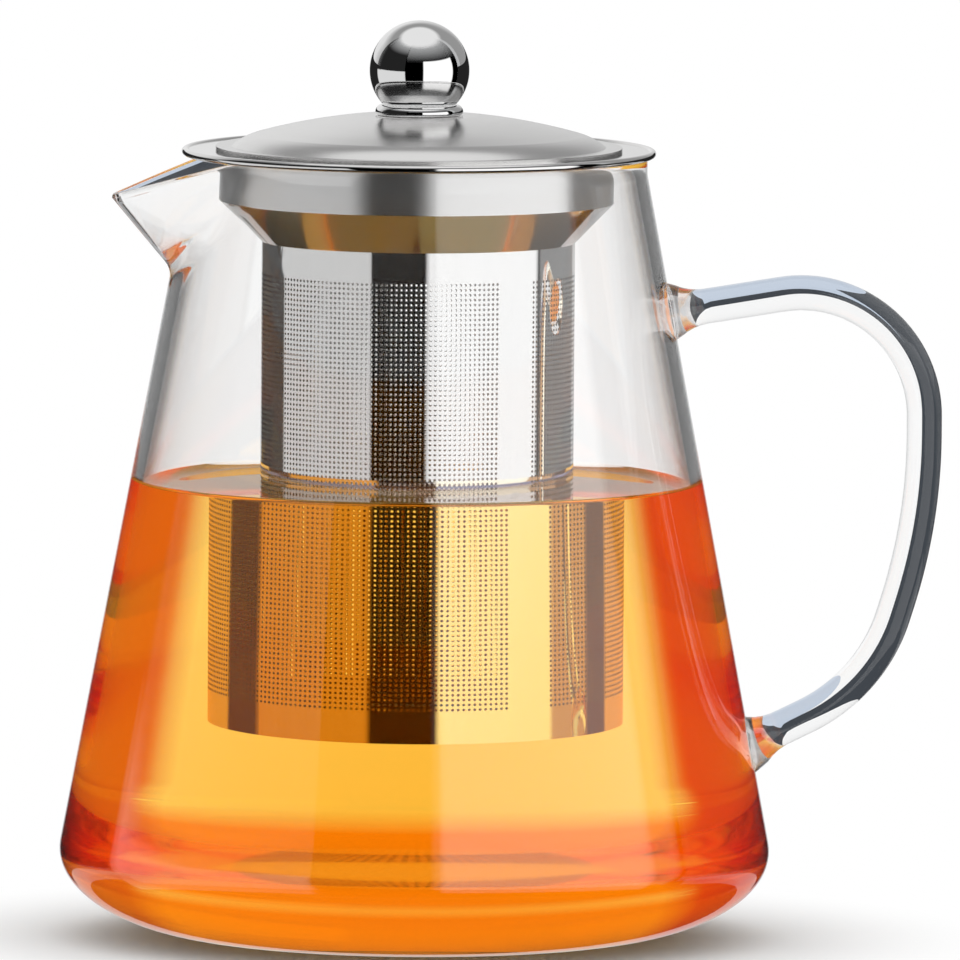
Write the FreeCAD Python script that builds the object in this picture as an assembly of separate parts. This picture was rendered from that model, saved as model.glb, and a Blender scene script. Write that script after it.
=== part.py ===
import FreeCAD, Part
import math
import os

# Glass teapot with a steel infuser and lid, in millimetres. Z is the pot's axis.
# The base stands on Z = 0, the pouring lip points to -X and the handle to +X.

V = FreeCAD.Vector

# Glass body
base_radius = 50.5  # widest radius
base_widest_z = 12.5  # height of the widest radius
foot_radius = 26.3  # outer radius of the flat ring that it stands on
foot_ring = 5.0  # width of that ring
punt_rise = 1.2  # how far the middle of the base is pushed up
neck_radius = 32.5  # outer radius just under the rim bead
rim_z = 111.75  # top of the rim
rim_height = 2.75  # from the neck up to the top of the rim
rim_bulge = 0.45  # how far the rim bead stands out past the neck
rim_land = 0.9  # width of the flat top of the rim
wall = 1.8  # glass wall
floor_thickness = 2.8  # glass of the base
neck_z = rim_z - rim_height

# Pouring lip
lip_over = 11.9  # from the neck out to the tip, before its edge is rounded
lip_drop = 5.85  # from the rim down to the tip
lip_keel_drop = 16.65  # from the rim down to where the lip's underside leaves the body
lip_nose = 3.0  # radius of the tip, seen from above
lip_nose_low = 6.0  # radius of the keel where it leaves the body
lip_half_angle = 32.0  # angle of each side to the lip's length
lip_wall = 1.5  # glass of the lip
lip_fall = 18.6  # fall of the lip's top edge towards the tip, in degrees
lip_blend = 4.0  # fillet between lip and body
lip_round = 0.6  # rounding of the lip's edge
lip_reach = neck_radius + lip_over
lip_tip_z = rim_z - lip_drop
lip_keel_z = rim_z - lip_keel_drop

# Handle
rod_thick = 5.0  # thickness in the handle's plane
rod_wide = 6.5  # width across that plane
handle_reach = 72.1  # furthest centre line from the axis
handle_corner_z = 95.4  # height where the top run would meet the upright run
handle_bend_z = 59.9  # height where the upright run begins to lean in
handle_knee_x = 64.8  # where the leaning run would meet the bottom run
handle_knee_z = 36.4
handle_top_weld_z = 89.5
handle_low_weld_z = 28.0
handle_radii = (17.5, 80.0, 24.0)  # bends, from the top down
weld_spread = 1.8  # size of a weld end over the rod
weld_length = 5.0

# Infuser
sheet = 0.5  # sheet of the pressed pieces
flange_over = 1.2  # how far the flange reaches past the neck
flange_roll = 0.55  # radius of the rolled edge
roll_drop = 0.3  # centre of the rolled edge under the flange's top
collar_room = 3.0  # room between the collar and the inside of the neck
collar_depth = 6.85  # from the rim to the start of the funnel
press_bend = 0.4  # hollow of the bend between flange and collar
funnel_drop = 5.7
funnel_width = 5.45  # from the collar in to the sleeve
spigot_length = 3.0
sleeve_sheet = 0.25
sleeve_bottom_z = 29.0
spigot_gap = 0.05  # radial room between the sleeve and what fits into it
spigot_sheet = 0.35
cup_height = 4.0
cup_bend = 0.8
seam_from = 31.0  # seam, in degrees from the front towards the handle
seam_to = 46.0
flange_radius = neck_radius + flange_over
collar_radius = neck_radius - wall - collar_room
sleeve_radius = collar_radius - funnel_width

# Lid
brim_over = 1.2  # how far the brim reaches past the collar
brim_width = 2.3  # from the brim's edge in to the foot of the dome
dome_side = 3.2  # width of the dome's steeper outer part
dome_seat_radius = 8.5  # flat top that the knob stands on
dome_seat_rise = 5.0  # flat top over the flange's top
dome_crown = 87.0  # radius of the dome between seat and shoulder
skirt_room = 0.45  # room between the skirt and the inside of the collar
skirt_sheet = 0.4
skirt_depth = 6.4
brim_radius = collar_radius + brim_over
dome_radius = brim_radius - brim_width  # foot of the dome
dome_shoulder_radius = dome_radius - dome_side
skirt_radius = collar_radius - sheet - skirt_room

# Knob
ball_radius = 7.1
ball_rise = 6.35  # centre of the ball over the lid's flat top
bead_radius = 6.25  # widest radius of the bead under the ball
bead_crown = 1.0  # rounding over the widest radius
bead_foot = 0.5  # rounding under it
bead_height = bead_crown + bead_foot
screw_radius = 2.0
screw_depth = 6.0  # how far the screw goes into the ball
screw_room = 0.03  # radial room in the ball's thread
hole_room = 0.15  # radial room in the holes that the screw passes
head_radius = 3.8
head_height = 2.4
slot_width = 1.0
slot_depth = 1.4
washer_radius = 4.6
washer_thick = 0.8

# Tea
tea_z = 64.2
tea_room = 0.1  # room between tea and glass
infuser_room = 0.3  # room between tea and infuser


def pt(r, z):
    return V(r, 0, z)


def line(a, b):
    return Part.LineSegment(a, b).toShape()


def arc(a, middle, b):
    return Part.Arc(a, middle, b).toShape()


def run(*points):
    return [line(a, b) for a, b in zip(points, points[1:])]


def turned(edges):
    return Part.Face(Part.Wire(edges)).revolve(V(0, 0, 0), V(0, 0, 1), 360)


def tube(outer, inner, low, high):
    return turned(run(pt(inner, low), pt(outer, low), pt(outer, high), pt(inner, high), pt(inner, low)))


def rod(radius, low, high):
    return Part.makeCylinder(radius, high - low, V(0, 0, low))


def crown_z(radius, top_radius, top_z, r):
    """Height at r of an arc about the axis that passes top_radius at top_z."""
    return top_z - math.sqrt(radius**2 - top_radius**2) + math.sqrt(radius**2 - r**2)


def wall_side(half_width, height, radius, z):
    """Rounded base corner up to the cone from (radius, z): the edge of the corner, and its upper end."""
    centre = pt(foot_radius, base_widest_z)
    across = pt(foot_radius + half_width, base_widest_z)
    oval = Part.Ellipse(across, pt(foot_radius, base_widest_z + height), centre)
    u = (radius - foot_radius) / half_width
    v = (z - base_widest_z) / height
    turn = math.atan2(v, u) - math.acos(1 / math.hypot(u, v))
    end = pt(foot_radius + half_width * math.cos(turn), base_widest_z + height * math.sin(turn))
    return Part.ArcOfEllipse(oval, -math.pi / 2, turn).toShape(), end


def outer_radius(z):
    """Outer radius of the glass cone at height z."""
    top = pt(neck_radius, neck_z)
    low = wall_side(base_radius - foot_radius, base_widest_z, neck_radius, neck_z)[1]
    return top.x + (low.x - top.x) * (top.z - z) / (top.z - low.z)


def filled(gap, floor, top):
    """All inside the body's surface up to the height top, drawn in by gap at the wall and floor below."""
    neck = neck_radius - gap
    corner, end = wall_side(base_radius - foot_radius - gap, base_widest_z - floor, neck, neck_z)
    reach = end.x + (neck - end.x) * (top - end.z) / (neck_z - end.z)
    return turned([corner] + run(end, pt(reach, top), pt(0, top), pt(0, floor), pt(foot_radius, floor)))


def rim_bead():
    """The rounded outer half of the rim."""
    middle = neck_radius - wall / 2
    top = pt(middle + rim_land / 2, rim_z)
    bulge = pt(neck_radius + rim_bulge, neck_z + 0.55 * (rim_z - neck_z))
    return turned([arc(pt(middle, neck_z), bulge, top)] + run(top, pt(middle, rim_z), pt(middle, neck_z)))


def rim_bevel():
    """The softened inner edge of the rim."""
    inner = neck_radius - 2 * wall
    low = pt(neck_radius - 1.2 * wall, neck_z)
    edge = pt(neck_radius - wall / 2 - rim_land / 2, rim_z)
    return turned(run(pt(inner, neck_z), low, edge, pt(inner, rim_z), pt(inner, neck_z)))


def lip_level(z, nose, thin):
    """Outline of the lip at height z: nose is the radius of its tip, and thin is left off all round."""
    lean = (lip_reach - outer_radius(lip_keel_z)) / (lip_tip_z - lip_keel_z)
    tip = lip_reach + (z - lip_tip_z) * lean
    centre = tip - nose
    small = nose - thin
    side = math.radians(lip_half_angle)
    back = neck_radius / 2
    touch_x = centre + small * math.sin(side)
    touch_y = small * math.cos(side)
    back_y = touch_y + (touch_x - back) * math.tan(side)
    left = V(-touch_x, touch_y, z)
    right = V(-touch_x, -touch_y, z)
    edges = [arc(left, V(-centre - small, 0, z), right)]
    edges += [line(right, V(-back, -back_y, z)), line(V(-back, -back_y, z), V(-back, back_y, z))]
    return Part.Wire(edges + [line(V(-back, back_y, z), left)])


def lip(thin, top):
    """The lip's solid from the foot of its keel up to the height top, with thin left off all round."""
    low = lip_keel_z - lip_nose_low
    return Part.makeLoft([lip_level(low, lip_nose_low, thin), lip_level(top, lip_nose, thin)], True, True)


def blended(body, spout, radius):
    """Body and spout in one, with a fillet where their sides meet."""
    both = body.fuse(spout).removeSplitter()
    meeting = []
    for edge in both.Edges:
        kinds = {face.Surface.TypeId for face in both.ancestorsOfType(edge, Part.Face)}
        if kinds == {"Part::GeomCone", "Part::GeomBSplineSurface"}:
            meeting.append(edge)
    return both.makeFillet(radius, meeting)


def above_lip():
    """The wedge over the lip's falling top edge."""
    fall = math.tan(math.radians(lip_fall))
    far = 2 * lip_reach
    start = lip_reach - (rim_z - lip_tip_z) / fall
    outer_z = rim_z - (far - start) * fall
    corners = [V(-start, -far, rim_z), V(-far, -far, outer_z)]
    corners += [V(-far, -far, 2 * rim_z), V(-start, -far, 2 * rim_z), corners[0]]
    return Part.Face(Part.makePolygon(corners)).extrude(V(0, 2 * far, 0))


def smooth_lip(solid):
    """The body with the lip's outer edge rounded, from the tip along the edges that run on from it."""
    tip = V(-lip_reach, 0, lip_tip_z)
    nearest = min(solid.Edges, key=lambda edge: edge.distToShape(Part.Vertex(tip))[0])
    return solid.makeFillet(lip_round, [nearest])


def glass_body():
    over = rim_z + wall
    outer = blended(filled(0, 0, over), lip(0, over), lip_blend)
    outer = outer.cut(rod(2 * lip_reach, rim_z, 2 * rim_z)).fuse(rim_bead())
    inner = blended(filled(wall, floor_thickness, over), lip(lip_wall, over), lip_blend + wall)
    ring_in = foot_radius - foot_ring
    punt_radius = (ring_in**2 + punt_rise**2) / (2 * punt_rise)
    punt = Part.makeSphere(punt_radius, V(0, 0, punt_rise - punt_radius))
    return smooth_lip(outer.cut([inner, rim_bevel(), above_lip(), punt]).removeSplitter())


def bent(points, radii):
    """A path of straight runs through points, with a tangent arc at each corner."""
    edges = []
    start = points[0]
    for before, corner, after, radius in zip(points, points[1:], points[2:], radii):
        back = (before - corner).normalize()
        ahead = (after - corner).normalize()
        half = back.getAngle(ahead) / 2
        first = corner + back * (radius / math.tan(half))
        last = corner + ahead * (radius / math.tan(half))
        middle = corner + (back + ahead).normalize() * (radius / math.sin(half) - radius)
        edges += [line(start, first), arc(first, middle, last)]
        start = last
    return Part.Wire(edges + [line(start, points[-1])])


def oval_at(centre, along, extra):
    """The rod's section square to along, larger by extra all round."""
    side = V(0, 1, 0).cross(along).normalize()
    wide = centre + V(0, rod_wide / 2 + extra, 0)
    thick = centre + side * (rod_thick / 2 + extra)
    return Part.Wire(Part.Ellipse(wide, thick, centre).toShape())


def weld(start, along):
    """The flared end of the rod that begins at start and runs along."""
    ovals = []
    for place, spread in [(-0.3, 1.0), (0.15, 0.62), (0.5, 0.2), (1.0, 0.0)]:
        ovals.append(oval_at(start + along * (weld_length * place), along, weld_spread * spread))
    return Part.makeLoft(ovals, True)


def glass_handle():
    top = pt(outer_radius(handle_top_weld_z), handle_top_weld_z)
    low = pt(outer_radius(handle_low_weld_z), handle_low_weld_z)
    corner = pt(handle_reach, handle_corner_z)
    lean = pt(handle_reach, handle_bend_z)
    knee = pt(handle_knee_x, handle_knee_z)
    out = (corner - top).normalize()
    back = (knee - low).normalize()
    path = bent([top - out, corner, lean, knee, low - back], handle_radii)
    loop = path.makePipeShell([oval_at(top - out, out, 0)], True, False)
    return loop.fuse([weld(top, out), weld(low, back)]).cut(filled(0, 0, rim_z)).removeSplitter()


def bend(centre_r, centre_z, radius):
    """A quarter bend about a centre, between level with it on the axis side and straight above it."""
    middle = radius * math.sqrt(0.5)
    start = pt(centre_r - radius, centre_z)
    return arc(start, pt(centre_r - middle, centre_z + middle), pt(centre_r, centre_z + radius))


def infuser_collar():
    top = rim_z + sheet
    funnel_z = rim_z - collar_depth
    shoulder_z = funnel_z - funnel_drop
    spigot_z = shoulder_z - spigot_length
    slope = math.atan2(funnel_drop, collar_radius - sleeve_radius)
    spigot = sleeve_radius - sleeve_sheet - spigot_gap
    bore = spigot - spigot_sheet
    inner = collar_radius - sheet
    inner_z = funnel_z + sheet * (1 - math.sin(slope)) / math.cos(slope)
    bore_z = inner_z - (inner - bore) * math.tan(slope)
    bend_r = collar_radius + press_bend
    bend_z = rim_z - press_bend
    roll = pt(flange_radius - flange_roll, top - roll_drop)
    roll_low = pt(roll.x - math.sqrt(flange_roll**2 - (roll.z - rim_z) ** 2), rim_z)
    roll_high = pt(roll.x - math.sqrt(flange_roll**2 - roll_drop**2), top)
    edges = run(pt(sleeve_radius, shoulder_z), pt(collar_radius, funnel_z), pt(collar_radius, bend_z))
    edges += [bend(bend_r, bend_z, press_bend), line(pt(bend_r, rim_z), roll_low)]
    edges += [arc(roll_low, pt(flange_radius, roll.z), roll_high)]
    edges += [line(roll_high, pt(bend_r, top)), bend(bend_r, bend_z, press_bend + sheet)]
    edges += run(pt(inner, bend_z), pt(inner, inner_z), pt(bore, bore_z), pt(bore, spigot_z))
    edges += run(pt(bore, spigot_z), pt(spigot, spigot_z), pt(spigot, shoulder_z))
    return turned(edges + [line(pt(spigot, shoulder_z), pt(sleeve_radius, shoulder_z))])


def infuser_sleeve():
    bore = sleeve_radius - sleeve_sheet
    top = rim_z - collar_depth - funnel_drop
    low = sleeve_bottom_z + cup_height + infuser_room
    high = top - spigot_length - infuser_room
    lap = Part.makeCylinder(bore, high - low, V(0, 0, low), V(0, 0, 1), seam_to - seam_from)
    lap = lap.cut(rod(bore - sleeve_sheet, low, high))
    lap.rotate(V(0, 0, 0), V(0, 0, 1), seam_from - 90)
    return tube(sleeve_radius, bore, sleeve_bottom_z, top).fuse(lap).removeSplitter()


def infuser_bottom():
    radius = sleeve_radius - sleeve_sheet - spigot_gap
    cup = rod(radius, sleeve_bottom_z, sleeve_bottom_z + cup_height)
    room = rod(radius - spigot_sheet, sleeve_bottom_z + spigot_sheet, sleeve_bottom_z + 2 * cup_height)
    lowest = min(cup.Edges, key=lambda edge: edge.CenterOfMass.z)
    inside = min(room.Edges, key=lambda edge: edge.CenterOfMass.z)
    return cup.makeFillet(cup_bend, [lowest]).cut(room.makeFillet(cup_bend - spigot_sheet, [inside]))


def dome_top(drop, foot_r, foot_z):
    """The dome's surface, lowered by drop: edges from the axis to its foot, and its top on the axis."""
    seat = pt(dome_seat_radius, rim_z + sheet + dome_seat_rise - drop)
    crown = dome_crown - drop
    half = (dome_seat_radius + dome_shoulder_radius) / 2
    middle = pt(half, crown_z(crown, seat.x, seat.z, half))
    shoulder = pt(dome_shoulder_radius, crown_z(crown, seat.x, seat.z, dome_shoulder_radius))
    out = foot_r - shoulder.x
    fall = out * math.tan(math.asin(shoulder.x / crown))
    knuckle = pt(shoulder.x + out / 2, shoulder.z - fall / 2 - (shoulder.z - foot_z - fall) / 4)
    crest = pt(0, seat.z)
    edges = [line(crest, seat), arc(seat, middle, shoulder), arc(shoulder, knuckle, pt(foot_r, foot_z))]
    return edges, crest


def lid_dome():
    low = rim_z + sheet
    top = low + sheet
    outer, crest = dome_top(0, dome_radius, top)
    inner, under = dome_top(sheet, dome_radius - sheet, low)
    brim = run(pt(dome_radius, top), pt(brim_radius, top), pt(brim_radius, low), pt(0, low), crest)
    room = run(pt(dome_radius - sheet, low), pt(0, low), under)
    hole = rod(screw_radius + hole_room, low, crest.z + 1)
    return turned(outer + brim).cut([turned(inner + room), hole])


def lid_skirt():
    top = rim_z + sheet
    return tube(skirt_radius, skirt_radius - skirt_sheet, top - skirt_depth, top)


def knob_base():
    low = rim_z + sheet + dome_seat_rise
    wide_z = low + bead_foot
    top = low + bead_height
    bore = screw_radius + hole_room
    slant = math.sqrt(0.5)
    foot = pt(bead_radius - bead_foot, low)
    under = pt(foot.x + slant * bead_foot, wide_z - slant * bead_foot)
    wide = pt(bead_radius, wide_z)
    neck = pt(bead_radius - bead_crown, top)
    over = pt(neck.x + slant * bead_crown, wide_z + slant * bead_crown)
    edges = [arc(foot, under, wide), arc(wide, over, neck)]
    return turned(edges + run(neck, pt(bore, top), pt(bore, low), foot))


def knob_ball():
    seat = rim_z + sheet + dome_seat_rise
    centre = seat + ball_rise
    low = seat + bead_height
    ball = Part.makeSphere(ball_radius, V(0, 0, centre))
    hole = rod(screw_radius + screw_room, low - 1, low + screw_depth + 1)
    return ball.cut([rod(2 * ball_radius, centre - 2 * ball_radius, low), hole])


def knob_washer():
    top = rim_z + dome_seat_rise
    return tube(washer_radius, screw_radius + hole_room, top - washer_thick, top)


def knob_screw():
    head_top = rim_z + dome_seat_rise - washer_thick
    low = head_top - head_height
    tip = rim_z + sheet + dome_seat_rise + bead_height + screw_depth
    rise = head_height / 3
    side = pt(head_radius, low + rise)
    pan = arc(pt(0, low), pt(head_radius / 2, low + rise / 4), side)
    head = turned([pan] + run(side, pt(head_radius, head_top), pt(0, head_top), pt(0, low)))
    screw = head.fuse(rod(screw_radius, head_top, tip)).removeSplitter()
    arm = head_radius
    slot = Part.makeBox(arm, slot_width, slot_depth, V(-arm / 2, -slot_width / 2, low))
    cross = Part.makeBox(slot_width, arm, slot_depth, V(-slot_width / 2, -arm / 2, low))
    return screw.cut([slot, cross])


def tea():
    """The fill round the infuser, and the fill inside it."""
    body = filled(wall + tea_room, floor_thickness + tea_room, tea_z)
    body = body.cut(rod(sleeve_radius + infuser_room, sleeve_bottom_z - infuser_room, tea_z + 1))
    core = sleeve_radius - 2 * sleeve_sheet - spigot_sheet - infuser_room
    floor = sleeve_bottom_z + cup_bend + infuser_room
    return Part.makeCompound([body, rod(core, floor, tea_z)])


os.makedirs("parts", exist_ok=True)
pieces = {
    "glass_body": glass_body(),
    "glass_handle": glass_handle(),
    "tea": tea(),
    "infuser_collar": infuser_collar(),
    "infuser_sleeve": infuser_sleeve(),
    "infuser_bottom": infuser_bottom(),
    "lid_dome": lid_dome(),
    "lid_skirt": lid_skirt(),
    "knob_base": knob_base(),
    "knob_ball": knob_ball(),
    "knob_screw": knob_screw(),
    "knob_washer": knob_washer(),
}
for name, shape in pieces.items():
    shape.exportStep("parts/" + name + ".step")
    print(name, "valid" if shape.isValid() else "not valid", round(shape.Volume, 1), "mm3")
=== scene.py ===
import math

import bpy
import numpy as np
from bpy.props import FloatProperty, FloatVectorProperty, IntProperty, PointerProperty
from mathutils import Matrix, Vector


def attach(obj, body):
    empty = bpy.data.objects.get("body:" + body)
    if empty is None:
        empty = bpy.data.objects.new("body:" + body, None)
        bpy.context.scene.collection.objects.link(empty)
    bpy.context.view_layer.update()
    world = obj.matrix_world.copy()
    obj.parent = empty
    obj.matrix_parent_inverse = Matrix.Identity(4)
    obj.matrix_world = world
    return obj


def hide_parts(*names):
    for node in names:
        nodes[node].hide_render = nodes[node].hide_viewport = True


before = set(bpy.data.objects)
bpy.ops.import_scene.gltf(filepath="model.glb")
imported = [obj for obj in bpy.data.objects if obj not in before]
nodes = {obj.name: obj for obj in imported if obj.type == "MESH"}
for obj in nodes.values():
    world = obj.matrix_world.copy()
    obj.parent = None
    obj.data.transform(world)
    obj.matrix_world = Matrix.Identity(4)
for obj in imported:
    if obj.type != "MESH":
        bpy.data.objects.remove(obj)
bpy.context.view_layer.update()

bl_info = {
    "name": "Glass Teapot",
    "version": (1, 0, 0),
    "blender": (4, 5, 0),
    "location": "View3D > Sidebar > Teapot",
    "description": "Dresses a glass teapot with infuser, lid and tea, and sets it in a small studio",
    "category": "Object",
}

MM = 0.001


# Settings


class GlassSettings(bpy.types.PropertyGroup):
    """Sizes and finish of the blown glass."""

    wall: FloatProperty(
        name="Wall", description="Glass wall of the body", default=1.8 * MM, unit="LENGTH"
    )
    lip_reach: FloatProperty(
        name="Lip reach", description="From the axis to the tip of the pouring lip",
        default=44.2 * MM, unit="LENGTH",
    )
    rod_thick: FloatProperty(
        name="Handle thickness", description="Handle rod in the handle's plane",
        default=5.0 * MM, unit="LENGTH",
    )
    rod_wide: FloatProperty(
        name="Handle width", description="Handle rod across the handle's plane",
        default=6.5 * MM, unit="LENGTH",
    )
    ior: FloatProperty(
        name="Refraction", description="Index of refraction of the glass", default=1.47, min=1.0
    )
    tint: FloatVectorProperty(
        name="Tint", description="Colour of the glass", subtype="COLOR", size=3,
        default=(0.992, 0.995, 0.996),
    )


class TeaSettings(bpy.types.PropertyGroup):
    """Level and colour of the tea."""

    level: FloatProperty(
        name="Level", description="Height of the tea", default=64.2 * MM, unit="LENGTH"
    )
    meniscus: FloatProperty(
        name="Meniscus", description="How far the tea climbs the glass",
        default=1.1 * MM, unit="LENGTH",
    )
    colour: FloatVectorProperty(
        name="Colour", description="What the tea lets through", subtype="COLOR", size=3,
        default=(0.992, 0.775, 0.0),
    )
    density: FloatProperty(
        name="Strength", description="How strongly the tea is brewed", default=32.0, min=0.0
    )


class SleeveSettings(bpy.types.PropertyGroup):
    """The perforated sheet of the infuser."""

    columns: IntProperty(
        name="Columns", description="Columns of holes round the sleeve", default=191, min=8
    )
    rows: IntProperty(
        name="Rows", description="Rows of holes up the sleeve", default=87, min=4
    )
    hole: FloatProperty(
        name="Hole", description="Diameter of a hole", default=0.41 * MM, unit="LENGTH"
    )
    sheet: FloatProperty(
        name="Sheet", description="Thickness of the sheet", default=0.25 * MM, unit="LENGTH"
    )


class SteelSettings(bpy.types.PropertyGroup):
    """Finish of the steel."""

    colour: FloatVectorProperty(
        name="Colour", description="Colour of bare steel", subtype="COLOR", size=3,
        default=(0.74, 0.735, 0.73),
    )
    ball_colour: FloatVectorProperty(
        name="Knob colour", description="Colour of the polished knob", subtype="COLOR", size=3,
        default=(0.8, 0.8, 0.8),
    )


class StudioSettings(bpy.types.PropertyGroup):
    """Light and floor."""

    floor: FloatVectorProperty(
        name="Floor", description="Colour of the floor", subtype="COLOR", size=3,
        default=(0.95, 0.95, 0.95),
    )
    slate: FloatVectorProperty(
        name="Flags", description="Colour of the dark flags behind the glass", subtype="COLOR", size=3,
        default=(0.75, 0.85, 1.0),
    )
    gold: FloatVectorProperty(
        name="Gold card", description="Colour of the card that warms the tea from the left",
        subtype="COLOR", size=3, default=(1.0, 0.115, 0.01),
    )
    amber: FloatVectorProperty(
        name="Amber card", description="Colour of the card that warms the tea from the right",
        subtype="COLOR", size=3, default=(1.0, 0.27, 0.02),
    )
    tent: FloatProperty(
        name="Tent", description="Brightness of the white tent as metal mirrors it", default=0.6, min=0.0
    )
    right: FloatProperty(
        name="Right panel", description="Brightness of the soft box on the right", default=1.3, min=0.0
    )
    left: FloatProperty(
        name="Left panel", description="Brightness of the soft box on the left", default=0.85, min=0.0
    )


# Meshes


def point_set(verts, faces, name, sharp=35.0):
    """A mesh object from points in metres and faces, smooth but for edges sharper than an angle."""
    mesh = bpy.data.meshes.new(name)
    mesh.from_pydata(np.asarray(verts).tolist(), [], faces)
    mesh.validate()
    mesh.shade_smooth()
    mesh.set_sharp_from_angle(angle=math.radians(sharp))
    piece = bpy.data.objects.new(name, mesh)
    bpy.context.scene.collection.objects.link(piece)
    return piece


def grid_faces(rows, columns, closed):
    """Quads between rows of points, joined round if closed."""
    faces = []
    last = columns if closed else columns - 1
    for i in range(rows - 1):
        for j in range(last):
            k = (j + 1) % columns
            faces.append((i * columns + j, i * columns + k, (i + 1) * columns + k, (i + 1) * columns + j))
    return faces


def ramp(x, low, high):
    """Smooth step from 0 at low to 1 at high."""
    t = np.clip((x - low) / (high - low), 0.0, 1.0)
    return t * t * (3 - 2 * t)


# Materials

WATER_IOR = 1.333
GRAIN_DETAIL = 4.0
SPUN_GRAIN, SPUN_SCALE = (0.02, 0.02, 1.0), 2600.0
COLLAR_POLISHED, COLLAR_BRUSHED = 0.09, (0.26, 0.36)


def new_material(name):
    """A material with one Principled shader, with its node tree and that shader."""
    material = bpy.data.materials.new(name)
    material.use_nodes = True
    tree = material.node_tree
    tree.nodes.clear()
    output = tree.nodes.new("ShaderNodeOutputMaterial")
    shader = tree.nodes.new("ShaderNodeBsdfPrincipled")
    tree.links.new(shader.outputs["BSDF"], output.inputs["Surface"])
    return material, tree, shader


def noise_field(tree, stretch, scale, detail=3.0):
    """Noise in the object's own space, stretched along its axes."""
    where = tree.nodes.new("ShaderNodeTexCoord")
    mapping = tree.nodes.new("ShaderNodeMapping")
    mapping.inputs["Scale"].default_value = stretch
    noise = tree.nodes.new("ShaderNodeTexNoise")
    noise.inputs["Scale"].default_value = scale
    noise.inputs["Detail"].default_value = detail
    tree.links.new(where.outputs["Object"], mapping.inputs["Vector"])
    tree.links.new(mapping.outputs["Vector"], noise.inputs["Vector"])
    return noise.outputs["Fac"]


def spread(tree, value, low, high):
    """A value from 0 to 1 brought into a range."""
    node = tree.nodes.new("ShaderNodeMapRange")
    node.inputs["To Min"].default_value = low
    node.inputs["To Max"].default_value = high
    tree.links.new(value, node.inputs["Value"])
    return node.outputs["Result"]


def bump(tree, shader, height, strength, distance):
    """Lets a height field tilt the shader's normal."""
    node = tree.nodes.new("ShaderNodeBump")
    node.inputs["Strength"].default_value = strength
    node.inputs["Distance"].default_value = distance
    tree.links.new(height, node.inputs["Height"])
    tree.links.new(node.outputs["Normal"], shader.inputs["Normal"])


def compare(tree, operation, value, limit):
    """1 where a value is over or under a limit, else 0."""
    node = tree.nodes.new("ShaderNodeMath")
    node.operation = operation
    node.inputs[1].default_value = limit
    tree.links.new(value, node.inputs[0])
    return node.outputs["Value"]


def product(tree, first, *others):
    """Values multiplied with each other."""
    for other in others:
        node = tree.nodes.new("ShaderNodeMath")
        node.operation = "MULTIPLY"
        tree.links.new(first, node.inputs[0])
        tree.links.new(other, node.inputs[1])
        first = node.outputs["Value"]
    return first


def glass_material():
    """Clear glass with the slow waves of a blown wall."""
    settings = bpy.context.scene.teapot_glass
    material, tree, shader = new_material("clear_blown_glass")
    shader.inputs["Base Color"].default_value = (*settings.tint, 1.0)
    shader.inputs["Roughness"].default_value = 0.0
    shader.inputs["IOR"].default_value = settings.ior
    shader.inputs["Transmission Weight"].default_value = 1.0
    waves = noise_field(tree, stretch=(1.0, 1.0, 0.45), scale=38.0, detail=1.0)
    bump(tree, shader, waves, strength=0.25, distance=0.25 * MM)
    return material


def tea_material():
    """Clear water that takes up blue and some green, with a slight ripple."""
    settings = bpy.context.scene.teapot_tea
    material, tree, shader = new_material("amber_tea")
    shader.inputs["Base Color"].default_value = (1.0, 1.0, 1.0, 1.0)
    shader.inputs["Roughness"].default_value = 0.0
    shader.inputs["IOR"].default_value = WATER_IOR
    shader.inputs["Transmission Weight"].default_value = 1.0
    ripple = noise_field(tree, stretch=(1.0, 1.0, 1.0), scale=60.0, detail=1.0)
    bump(tree, shader, ripple, strength=0.1, distance=0.1 * MM)
    body = tree.nodes.new("ShaderNodeVolumeAbsorption")
    body.inputs["Color"].default_value = (*settings.colour, 1.0)
    body.inputs["Density"].default_value = settings.density
    output = next(n for n in tree.nodes if n.type == "OUTPUT_MATERIAL")
    tree.links.new(body.outputs["Volume"], output.inputs["Volume"])
    return material


def steel_material(name, colour, rough, grain, stretch, scale, grain_bump):
    """Steel with fine grain: rough is the range of roughness, grain the range of brightness."""
    material, tree, shader = new_material(name)
    shader.inputs["Metallic"].default_value = 1.0
    lines = noise_field(tree, stretch, scale, GRAIN_DETAIL)
    shade = tree.nodes.new("ShaderNodeMix")
    shade.data_type = "RGBA"
    shade.inputs["A"].default_value = (*[c * grain[0] for c in colour], 1.0)
    shade.inputs["B"].default_value = (*[c * grain[1] for c in colour], 1.0)
    tree.links.new(lines, shade.inputs["Factor"])
    tree.links.new(shade.outputs["Result"], shader.inputs["Base Color"])
    tree.links.new(spread(tree, lines, *rough), shader.inputs["Roughness"])
    bump(tree, shader, lines, strength=0.3, distance=grain_bump)
    return material


def between(tree, value, low, high, soft):
    """1 where a value lies between two limits, with soft ends."""
    rise = tree.nodes.new("ShaderNodeMapRange")
    rise.inputs["From Min"].default_value = low - soft
    rise.inputs["From Max"].default_value = low + soft
    fall = tree.nodes.new("ShaderNodeMapRange")
    fall.inputs["From Min"].default_value = high + soft
    fall.inputs["From Max"].default_value = high - soft
    for node in (rise, fall):
        tree.links.new(value, node.inputs["Value"])
    return product(tree, rise.outputs["Result"], fall.outputs["Result"])


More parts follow.
